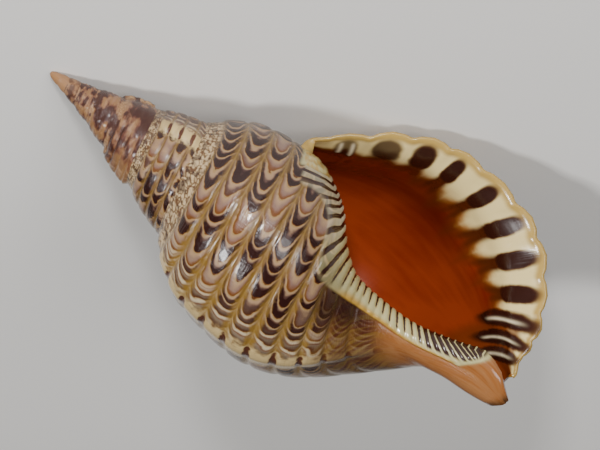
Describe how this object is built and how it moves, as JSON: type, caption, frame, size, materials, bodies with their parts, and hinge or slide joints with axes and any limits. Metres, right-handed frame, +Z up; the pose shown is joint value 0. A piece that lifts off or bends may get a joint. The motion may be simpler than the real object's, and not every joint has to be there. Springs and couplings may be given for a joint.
{
  "type": "triton shell",
  "caption": "Large spiral sea-snail shell with a tall spire, ribbed body whorl, flared scalloped lip, folded inner lip and open canal, lying on its back and on its flared lip.",
  "frame": {"origin": "centre of the bounding box in plan, on the surface that the shell lies on", "axes": "+X from the canal towards the spire's tip, -Y to the flared lip's side, which the mouth faces, +Z up"},
  "size_m": [0.3016, 0.1428, 0.1373],
  "materials": {
    "shell": "glossy"
  },
  "bodies": {
    "root": {"triton_shell": "shell"}
  },
  "joints": []
}
